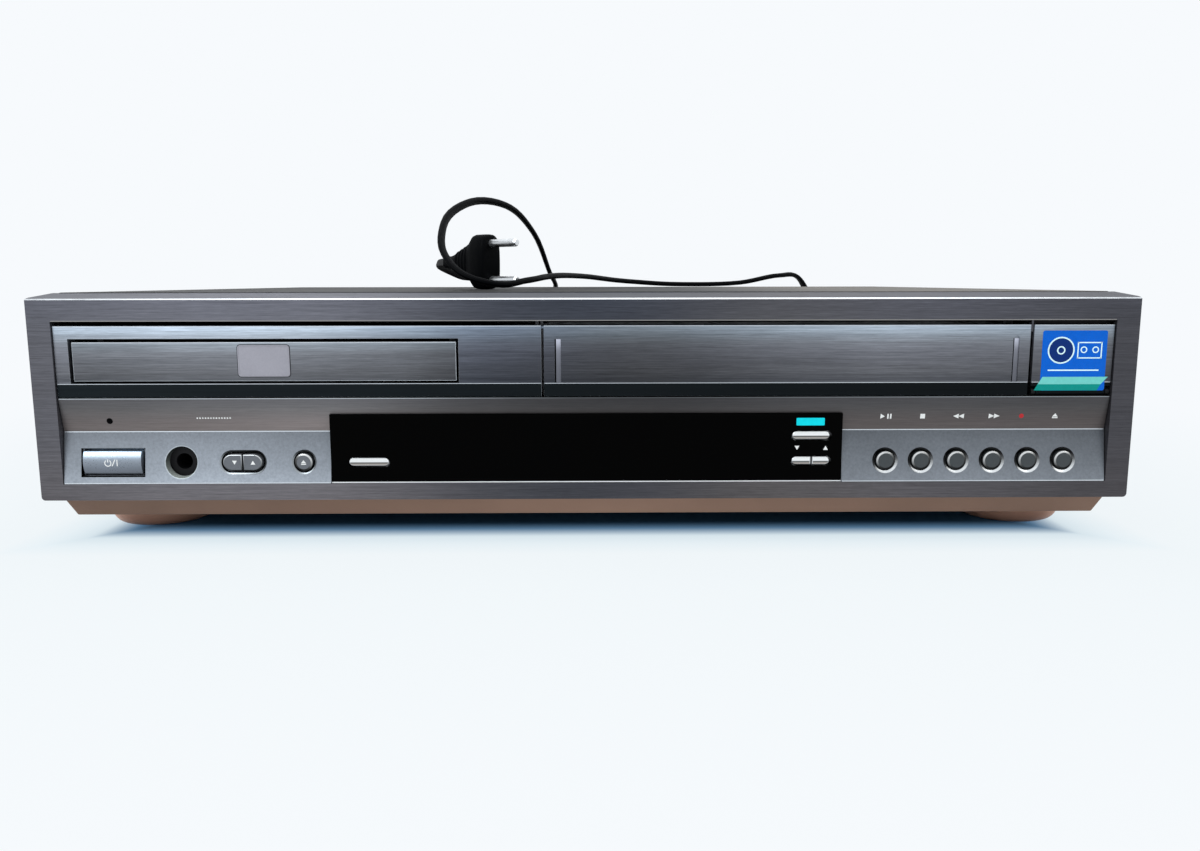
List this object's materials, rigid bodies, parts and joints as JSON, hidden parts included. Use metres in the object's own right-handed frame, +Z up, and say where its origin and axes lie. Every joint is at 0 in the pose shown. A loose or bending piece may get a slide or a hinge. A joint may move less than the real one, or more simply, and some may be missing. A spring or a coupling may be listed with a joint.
{
  "type": "disc and video cassette player",
  "caption": "Low wide player: drawer for discs and hinged cassette flap above a dark window and buttons, in a steel cabinet with feet and mains lead.",
  "frame": {"origin": "on the floor, midway across the cabinet and midway between the front frame and the ends of the rear aerial sockets", "axes": "+X to the viewer's right along the front, +Y from the front to the back, +Z up"},
  "size_m": [0.43, 0.4225, 0.1498],
  "materials": {
    "frame_metal": "brushed gunmetal paint",
    "panel_metal": "satin blue-grey paint",
    "window_black": "gloss black",
    "cover_steel": "dark semi-gloss paint",
    "bright_steel": "bright zinc plate",
    "carriage_steel": "pressed steel",
    "drum_metal": "turned aluminium",
    "base_plastic": "taupe moulded plastic",
    "black_plastic": "matt black",
    "grey_plastic": "moulded grey",
    "tray_plastic": "fine grained",
    "gear_plastic": "natural acetal",
    "socket_brass": "gilt",
    "board": "green circuit board",
    "key_metal": "silver paint",
    "key_chrome": "chrome plated",
    "lead_plastic": "black flexible plastic",
    "pin_metal": "nickel plated"
  },
  "bodies": {
    "cabinet": {"front_frame": "frame_metal", "disc_panel": "frame_metal", "label_strip": "frame_metal", "control_panel": "panel_metal", "display_window": "window_black", "top_cover": "cover_steel", "cover_screws": "bright_steel", "chassis_pan": "bright_steel", "base_plinth": "base_plastic", "feet": "base_plastic", "rear_panel": "bright_steel", "scart_sockets": "black_plastic", "tuner_can": "bright_steel", "phono_sockets": "socket_brass", "phones_jack": "black_plastic", "front_board": "board", "power_board": "board", "main_board": "board", "socket_tub": "black_plastic", "loader_base": "grey_plastic", "loader_walls": "grey_plastic", "loader_motor": "bright_steel", "deck_plate": "bright_steel", "deck_walls": "bright_steel", "drum_base": "drum_metal", "cord_grommet": "lead_plastic", "mains_cord": "lead_plastic", "mains_coil": "lead_plastic", "mains_plug": "lead_plastic", "plug_pins": "pin_metal"},
    "tray": {"tray_front": "frame_metal", "disc_tray": "tray_plastic"},
    "gear": {"tray_gear": "gear_plastic"},
    "carrier": {"motor_carrier": "grey_plastic"},
    "turntable": {"turntable": "black_plastic"},
    "pickup": {"laser_pickup": "black_plastic"},
    "clamp": {"disc_clamp": "black_plastic"},
    "flap": {"cassette_flap": "frame_metal"},
    "socket_door": {"socket_door": "frame_metal"},
    "carriage": {"cassette_carriage": "carriage_steel"},
    "cradle": {"cassette_cradle": "carriage_steel"},
    "drum": {"head_drum": "drum_metal"},
    "capstan": {"capstan": "bright_steel"},
    "left_reel": {"supply_reel": "black_plastic"},
    "right_reel": {"take_up_reel": "black_plastic"},
    "pinch_arm": {"pinch_arm": "bright_steel"},
    "power_button": {"power_button": "key_metal"},
    "level_down_button": {"level_down_button": "key_chrome"},
    "level_up_button": {"level_up_button": "key_chrome"},
    "open_button": {"open_button": "key_metal"},
    "select_button": {"select_button": "key_chrome"},
    "copy_button": {"copy_button": "key_chrome"},
    "prog_down_button": {"prog_down_button": "key_chrome"},
    "prog_up_button": {"prog_up_button": "key_chrome"},
    "play_button": {"play_button": "key_metal"},
    "stop_button": {"stop_button": "key_metal"},
    "rewind_button": {"rewind_button": "key_metal"},
    "forward_button": {"forward_button": "key_metal"},
    "record_button": {"record_button": "key_metal"},
    "eject_button": {"eject_button": "key_metal"}
  },
  "joints": [
    {"name": "tray_slide", "type": "slide", "parent": "cabinet", "child": "tray", "axis": [0, -1, 0], "range_m": [0, 0.13]},
    {"name": "gear_spin", "type": "hinge", "parent": "cabinet", "child": "gear", "pos_m": [-0.08105, -0.141, 0.064], "axis": [0, 0, 1], "range_deg": [-760, 0]},
    {"name": "carrier_lift", "type": "slide", "parent": "cabinet", "child": "carrier", "axis": [0, 0, 1], "range_m": [0, 0.0094]},
    {"name": "turntable_spin", "type": "hinge", "parent": "carrier", "child": "turntable", "pos_m": [-0.12505, -0.1, 0.062], "axis": [0, 0, 1], "continuous": true},
    {"name": "pickup_slide", "type": "slide", "parent": "carrier", "child": "pickup", "axis": [0, 1, 0], "range_m": [0, 0.034]},
    {"name": "clamp_spin", "type": "hinge", "parent": "cabinet", "child": "clamp", "pos_m": [-0.12505, -0.1, 0.08], "axis": [0, 0, 1], "continuous": true},
    {"name": "flap_hinge", "type": "hinge", "parent": "cabinet", "child": "flap", "pos_m": [0.0782, -0.1676, 0.0855], "axis": [1, 0, 0], "range_deg": [0, 85], "stiffness_Nm_per_rad": 0.003, "springref_deg": -28.65},
    {"name": "door_hinge", "type": "hinge", "parent": "cabinet", "child": "socket_door", "pos_m": [0.19, -0.1676, 0.06], "axis": [1, 0, 0], "range_deg": [0, 90]},
    {"name": "carriage_slide", "type": "slide", "parent": "cabinet", "child": "carriage", "axis": [0, 1, 0], "range_m": [0, 0.035]},
    {"name": "cradle_drop", "type": "slide", "parent": "carriage", "child": "cradle", "axis": [0, 0, -1], "range_m": [0, 0.021]},
    {"name": "drum_spin", "type": "hinge", "parent": "cabinet", "child": "drum", "pos_m": [0.0782, 0.017, 0.035], "axis": [0, 0.0872, 0.9962], "continuous": true},
    {"name": "capstan_spin", "type": "hinge", "parent": "cabinet", "child": "capstan", "pos_m": [0.128, -0.022, 0.035], "axis": [0, 0, 1], "continuous": true},
    {"name": "supply_reel_spin", "type": "hinge", "parent": "cabinet", "child": "left_reel", "pos_m": [0.0317, -0.084, 0.035], "axis": [0, 0, 1], "continuous": true},
    {"name": "take_up_reel_spin", "type": "hinge", "parent": "cabinet", "child": "right_reel", "pos_m": [0.1247, -0.084, 0.035], "axis": [0, 0, 1], "continuous": true},
    {"name": "pinch_swing", "type": "hinge", "parent": "cabinet", "child": "pinch_arm", "pos_m": [0.15, 0.006, 0.038], "axis": [0, 0, -1], "range_deg": [0, 25], "stiffness_Nm_per_rad": 0.01, "springref_deg": -11.46},
    {"name": "power_press", "type": "slide", "parent": "cabinet", "child": "power_button", "axis": [0, 1, 0], "range_m": [0, 0.0008], "stiffness_N_per_m": 1500, "springref_m": -0.0002},
    {"name": "level_down_press", "type": "slide", "parent": "cabinet", "child": "level_down_button", "axis": [0, 1, 0], "range_m": [0, 0.0008], "stiffness_N_per_m": 1500, "springref_m": -0.0002},
    {"name": "level_up_press", "type": "slide", "parent": "cabinet", "child": "level_up_button", "axis": [0, 1, 0], "range_m": [0, 0.0008], "stiffness_N_per_m": 1500, "springref_m": -0.0002},
    {"name": "open_press", "type": "slide", "parent": "cabinet", "child": "open_button", "axis": [0, 1, 0], "range_m": [0, 0.0008], "stiffness_N_per_m": 1500, "springref_m": -0.0002},
    {"name": "select_press", "type": "slide", "parent": "cabinet", "child": "select_button", "axis": [0, 1, 0], "range_m": [0, 0.0008], "stiffness_N_per_m": 1500, "springref_m": -0.0002},
    {"name": "copy_press", "type": "slide", "parent": "cabinet", "child": "copy_button", "axis": [0, 1, 0], "range_m": [0, 0.0008], "stiffness_N_per_m": 1500, "springref_m": -0.0002},
    {"name": "prog_down_press", "type": "slide", "parent": "cabinet", "child": "prog_down_button", "axis": [0, 1, 0], "range_m": [0, 0.0008], "stiffness_N_per_m": 1500, "springref_m": -0.0002},
    {"name": "prog_up_press", "type": "slide", "parent": "cabinet", "child": "prog_up_button", "axis": [0, 1, 0], "range_m": [0, 0.0008], "stiffness_N_per_m": 1500, "springref_m": -0.0002},
    {"name": "play_press", "type": "slide", "parent": "cabinet", "child": "play_button", "axis": [0, 1, 0], "range_m": [0, 0.0008], "stiffness_N_per_m": 1500, "springref_m": -0.0002},
    {"name": "stop_press", "type": "slide", "parent": "cabinet", "child": "stop_button", "axis": [0, 1, 0], "range_m": [0, 0.0008], "stiffness_N_per_m": 1500, "springref_m": -0.0002},
    {"name": "rewind_press", "type": "slide", "parent": "cabinet", "child": "rewind_button", "axis": [0, 1, 0], "range_m": [0, 0.0008], "stiffness_N_per_m": 1500, "springref_m": -0.0002},
    {"name": "forward_press", "type": "slide", "parent": "cabinet", "child": "forward_button", "axis": [0, 1, 0], "range_m": [0, 0.0008], "stiffness_N_per_m": 1500, "springref_m": -0.0002},
    {"name": "record_press", "type": "slide", "parent": "cabinet", "child": "record_button", "axis": [0, 1, 0], "range_m": [0, 0.0008], "stiffness_N_per_m": 1500, "springref_m": -0.0002},
    {"name": "eject_press", "type": "slide", "parent": "cabinet", "child": "eject_button", "axis": [0, 1, 0], "range_m": [0, 0.0008], "stiffness_N_per_m": 1500, "springref_m": -0.0002}
  ],
  "couplings": [
    {"joint": "gear_spin", "follows": "tray_slide", "rad_per_m": -100}
  ]
}
